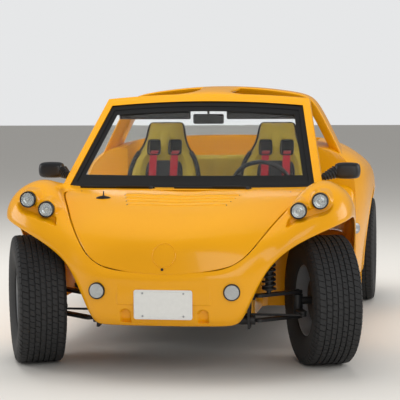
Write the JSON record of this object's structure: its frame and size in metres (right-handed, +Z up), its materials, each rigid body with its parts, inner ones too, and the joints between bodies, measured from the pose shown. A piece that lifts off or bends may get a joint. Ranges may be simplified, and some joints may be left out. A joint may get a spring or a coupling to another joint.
{
  "type": "dune buggy",
  "caption": "Open doorless glass fibre buggy with a targa roof hoop, twin round lamps in raised wings, steered front wheels, hinged front lid and hinged engine lid.",
  "frame": {"origin": "on the ground at the centre of the overall box", "axes": "-Y forward, +X to the car's left, +Z up"},
  "size_m": [1.9718, 3.6, 1.4519],
  "materials": {
    "body_gelcoat": "glossy yellow gelcoat on moulded glass fibre",
    "windscreen": "clear laminated glass",
    "rubber_trim": "extruded black rubber",
    "black_plastic": "grained black plastic",
    "lamp_glass": "clear lamp glass",
    "reflector": "bright reflector in a dark bowl",
    "red_lens": "red moulded lens",
    "plate_white": "bare white pressed sheet",
    "tyre": "black road tyre",
    "wheel_silver": "silver painted pressed steel",
    "chassis_black": "satin black chassis paint",
    "seat_fabric": "olive yellow cloth with black bolsters",
    "cast_alloy": "dull cast alloy",
    "exhaust_steel": "dull exhaust steel"
  },
  "bodies": {
    "chassis": {"dashboard": "black_plastic", "engine": "cast_alloy", "exhaust": "exhaust_steel", "floor_pan": "chassis_black", "front_arms": "chassis_black", "front_beam": "chassis_black", "front_clip": "body_gelcoat", "front_wheelhouses": "body_gelcoat", "gearbox": "cast_alloy", "headlamp_bowls": "reflector", "headlamp_lenses": "lamp_glass", "number_plate": "plate_white", "rear_axle": "chassis_black", "rear_bench": "seat_fabric", "rear_body": "body_gelcoat", "rear_bumper": "chassis_black", "rear_wheelhouses": "body_gelcoat", "roof_hoop": "body_gelcoat", "roof_spine": "body_gelcoat", "screen_frame": "body_gelcoat", "seat_left": "seat_fabric", "seat_right": "seat_fabric", "seat_tub": "body_gelcoat", "side_mirrors": "black_plastic", "side_panels": "body_gelcoat", "spring_plates": "chassis_black", "steering_box": "chassis_black", "steering_column": "black_plastic", "tail_lamps": "red_lens", "torsion_tube": "chassis_black", "turn_lamps": "lamp_glass", "windscreen_glass": "windscreen", "windscreen_seal": "rubber_trim"},
    "hood": {"hood": "body_gelcoat"},
    "engine_lid": {"engine_lid": "body_gelcoat"},
    "knuckle_left": {"knuckle_left": "chassis_black"},
    "knuckle_right": {"knuckle_right": "chassis_black"},
    "wheel_front_left": {"tyre_front_left": "tyre", "rim_front_left": "wheel_silver"},
    "wheel_front_right": {"tyre_front_right": "tyre", "rim_front_right": "wheel_silver"},
    "wheel_rear_left": {"tyre_rear_left": "tyre", "rim_rear_left": "wheel_silver"},
    "wheel_rear_right": {"tyre_rear_right": "tyre", "rim_rear_right": "wheel_silver"},
    "steering_wheel": {"steering_wheel": "black_plastic"},
    "pitman_arm": {"pitman_arm": "chassis_black"},
    "tie_rod_left": {"tie_rod_left": "chassis_black"},
    "tie_rod_right": {"tie_rod_right": "chassis_black"}
  },
  "joints": [
    {"name": "hood_hinge", "type": "hinge", "parent": "chassis", "child": "hood", "pos_m": [0, -1, 0.905], "axis": [-1, 0, 0], "range_deg": [0, 55]},
    {"name": "engine_lid_hinge", "type": "hinge", "parent": "chassis", "child": "engine_lid", "pos_m": [0, 1.27, 1.115], "axis": [1, 0, 0], "range_deg": [0, 60]},
    {"name": "steer_left", "type": "hinge", "parent": "chassis", "child": "knuckle_left", "pos_m": [0.64, -1.3, 0.344], "axis": [0, 0, 1], "range_deg": [-50, 10]},
    {"name": "steer_right", "type": "hinge", "parent": "chassis", "child": "knuckle_right", "pos_m": [-0.64, -1.3, 0.344], "axis": [0, 0, 1], "range_deg": [-50, 10]},
    {"name": "pitman_turn", "type": "hinge", "parent": "chassis", "child": "pitman_arm", "pos_m": [0.11, -1.3, 0.29], "axis": [0, 0, 1], "range_deg": [-50, 10]},
    {"name": "tie_rod_left_turn", "type": "hinge", "parent": "pitman_arm", "child": "tie_rod_left", "pos_m": [0.14762, -1.40337, 0.29], "axis": [0, 0, 1], "range_deg": [-10, 50]},
    {"name": "tie_rod_right_turn", "type": "hinge", "parent": "pitman_arm", "child": "tie_rod_right", "pos_m": [0.14762, -1.40337, 0.29], "axis": [0, 0, 1], "range_deg": [-10, 50]},
    {"name": "steering_wheel_turn", "type": "hinge", "parent": "chassis", "child": "steering_wheel", "pos_m": [0.34, -0.25, 0.86], "axis": [0, 0.8829, 0.4695], "range_deg": [-700, 140]},
    {"name": "spin_front_left", "type": "hinge", "parent": "knuckle_left", "child": "wheel_front_left", "pos_m": [0.76639, -1.254, 0.344], "axis": [0.9397, 0.342, 0], "continuous": true},
    {"name": "spin_front_right", "type": "hinge", "parent": "knuckle_right", "child": "wheel_front_right", "pos_m": [-0.76639, -1.346, 0.344], "axis": [0.9397, 0.342, 0], "continuous": true},
    {"name": "spin_rear_left", "type": "hinge", "parent": "chassis", "child": "wheel_rear_left", "pos_m": [0.835, 1.1, 0.344], "axis": [1, 0, 0], "continuous": true},
    {"name": "spin_rear_right", "type": "hinge", "parent": "chassis", "child": "wheel_rear_right", "pos_m": [-0.835, 1.1, 0.344], "axis": [1, 0, 0], "continuous": true}
  ],
  "couplings": [
    {"joint": "steer_right", "follows": "steer_left", "ratio": 1},
    {"joint": "pitman_turn", "follows": "steer_left", "ratio": 1},
    {"joint": "tie_rod_left_turn", "follows": "steer_left", "ratio": -1},
    {"joint": "tie_rod_right_turn", "follows": "steer_left", "ratio": -1},
    {"joint": "steering_wheel_turn", "follows": "steer_left", "ratio": 14}
  ]
}
